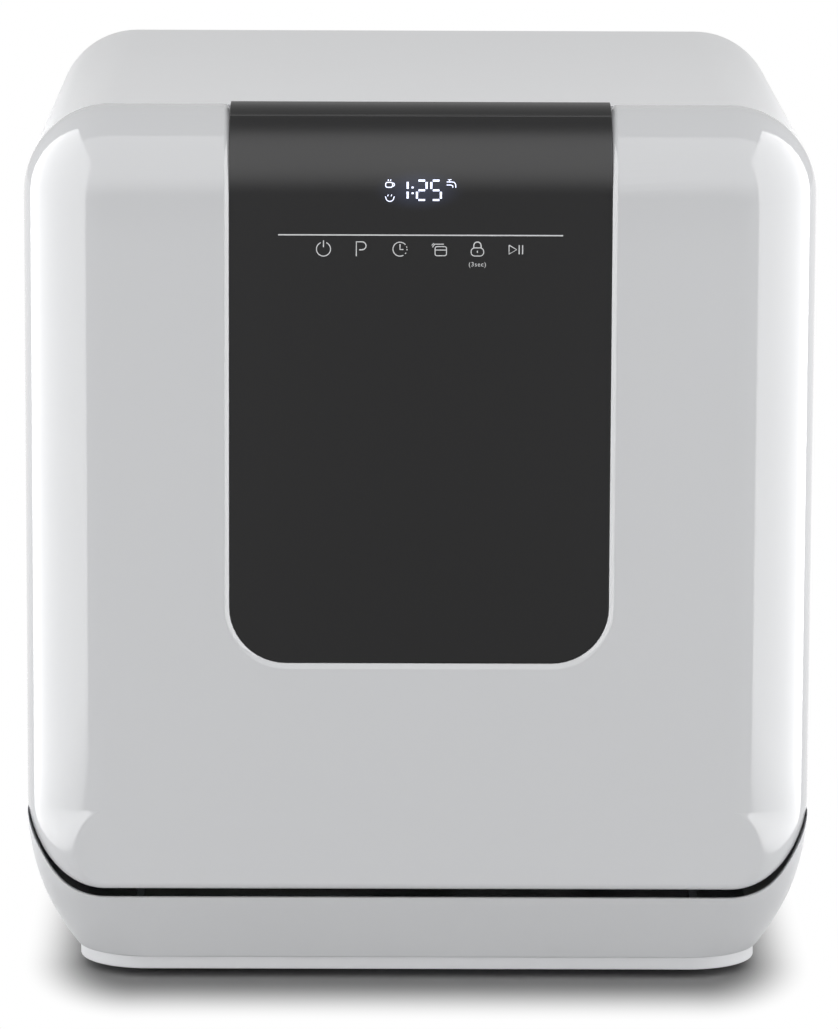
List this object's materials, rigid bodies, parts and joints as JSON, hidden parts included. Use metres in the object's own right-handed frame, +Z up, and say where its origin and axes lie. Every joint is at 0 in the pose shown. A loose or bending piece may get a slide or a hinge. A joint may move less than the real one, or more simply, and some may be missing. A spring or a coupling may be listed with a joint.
{
  "type": "countertop dishwasher",
  "caption": "Compact free-standing dishwasher with a rolled-edge drop-down door, a wrap-over touch panel, a pull-out rack and two spray arms.",
  "frame": {"origin": "bottom centre of the part, on the plane its feet stand on", "axes": "+X to the right seen from the front, -Y towards the user on the door's side, +Z up"},
  "size_m": [0.42, 0.435, 0.4664],
  "materials": {
    "white_gloss": "gloss white moulding",
    "white_case": "white coated sheet",
    "base_white": "pale grey-white moulding",
    "charcoal_panel": "satin charcoal with a fine grain",
    "stainless": "satin stainless sheet",
    "wire_coat": "coated rack wire",
    "zinc_steel": "plated steel",
    "rubber": "matt black rubber",
    "grey_plastic": "mid grey moulding",
    "dark_plastic": "dark grey moulding",
    "pale_plastic": "pale grey moulding",
    "blue_plastic": "pale blue cap",
    "circuit": "green circuit board",
    "display": "dark display window"
  },
  "bodies": {
    "cabinet": {"base_tray": "base_white", "plinth": "base_white", "feet": "rubber", "case_shell": "white_case", "rear_panel": "white_case", "rear_screws": "zinc_steel", "tub": "stainless", "tub_gasket": "rubber", "rack_rails": "pale_plastic", "sump": "grey_plastic", "filter_well": "grey_plastic", "filter_plate": "stainless", "wash_pump": "dark_plastic", "drain_pump": "dark_plastic", "flow_heater": "stainless", "air_break_tank": "pale_plastic", "inlet_valve": "dark_plastic", "drain_spigot": "dark_plastic", "cord_gland": "dark_plastic", "upper_feed_pipe": "grey_plastic", "fan_housing": "dark_plastic", "hinge_brackets": "zinc_steel", "hinge_pins": "zinc_steel", "latch_strike": "zinc_steel"},
    "door": {"door_outer": "white_gloss", "control_panel": "charcoal_panel", "door_liner": "stainless", "hinge_ears": "zinc_steel", "latch_hook": "dark_plastic", "display_module": "display", "control_board": "circuit", "dispenser_body": "pale_plastic"},
    "rack": {"rack_frame": "wire_coat", "rack_walls": "wire_coat", "rack_tines": "wire_coat", "rack_glides": "grey_plastic", "rack_handle": "grey_plastic", "shelf_clips": "grey_plastic"},
    "lower_arm": {"lower_spray_arm": "grey_plastic"},
    "upper_arm": {"upper_spray_arm": "grey_plastic"},
    "fan": {"fan_wheel": "dark_plastic"},
    "filter": {"filter_cup": "grey_plastic"},
    "float": {"float_dome": "pale_plastic"},
    "lid": {"dispenser_lid": "pale_plastic"},
    "cap": {"rinse_cap": "blue_plastic"},
    "shelf": {"cup_shelf": "wire_coat"},
    "basket": {"cutlery_basket": "grey_plastic"}
  },
  "joints": [
    {"name": "door_hinge", "type": "hinge", "parent": "cabinet", "child": "door", "pos_m": [0, -0.21, 0.0576], "axis": [1, 0, 0], "range_deg": [0, 90]},
    {"name": "rack_slide", "type": "slide", "parent": "cabinet", "child": "rack", "axis": [0, -1, 0], "range_m": [0, 0.088]},
    {"name": "lower_arm_spin", "type": "hinge", "parent": "cabinet", "child": "lower_arm", "pos_m": [0, 0.01, 0.112], "axis": [0, 0, 1], "continuous": true},
    {"name": "upper_arm_spin", "type": "hinge", "parent": "cabinet", "child": "upper_arm", "pos_m": [0, 0.01, 0.408], "axis": [0, 0, 1], "continuous": true},
    {"name": "fan_spin", "type": "hinge", "parent": "cabinet", "child": "fan", "pos_m": [0.11, 0.18, 0.33], "axis": [0, 1, 0], "continuous": true},
    {"name": "filter_turn", "type": "hinge", "parent": "cabinet", "child": "filter", "pos_m": [0.088, -0.082, 0.1], "axis": [0, 0, 1], "range_deg": [0, 60]},
    {"name": "float_rise", "type": "slide", "parent": "cabinet", "child": "float", "axis": [0, 0, 1], "range_m": [0, 0.006]},
    {"name": "dispenser_lid_slide", "type": "slide", "parent": "door", "child": "lid", "axis": [1, 0, 0], "range_m": [0, 0.046]},
    {"name": "rinse_cap_turn", "type": "hinge", "parent": "door", "child": "cap", "pos_m": [0.05, -0.172, 0.304], "axis": [0, 1, 0], "range_deg": [0, 90]},
    {"name": "cup_shelf_fold", "type": "hinge", "parent": "rack", "child": "shelf", "pos_m": [-0.152, 0.005, 0.262], "axis": [0, -1, 0], "range_deg": [0, 85]},
    {"name": "basket_lift", "type": "slide", "parent": "rack", "child": "basket", "axis": [0, 0, 1], "range_m": [0, 0.06]}
  ],
  "couplings": [
    {"joint": "rack_slide", "follows": "door_hinge", "m_per_rad": 0.055}
  ]
}
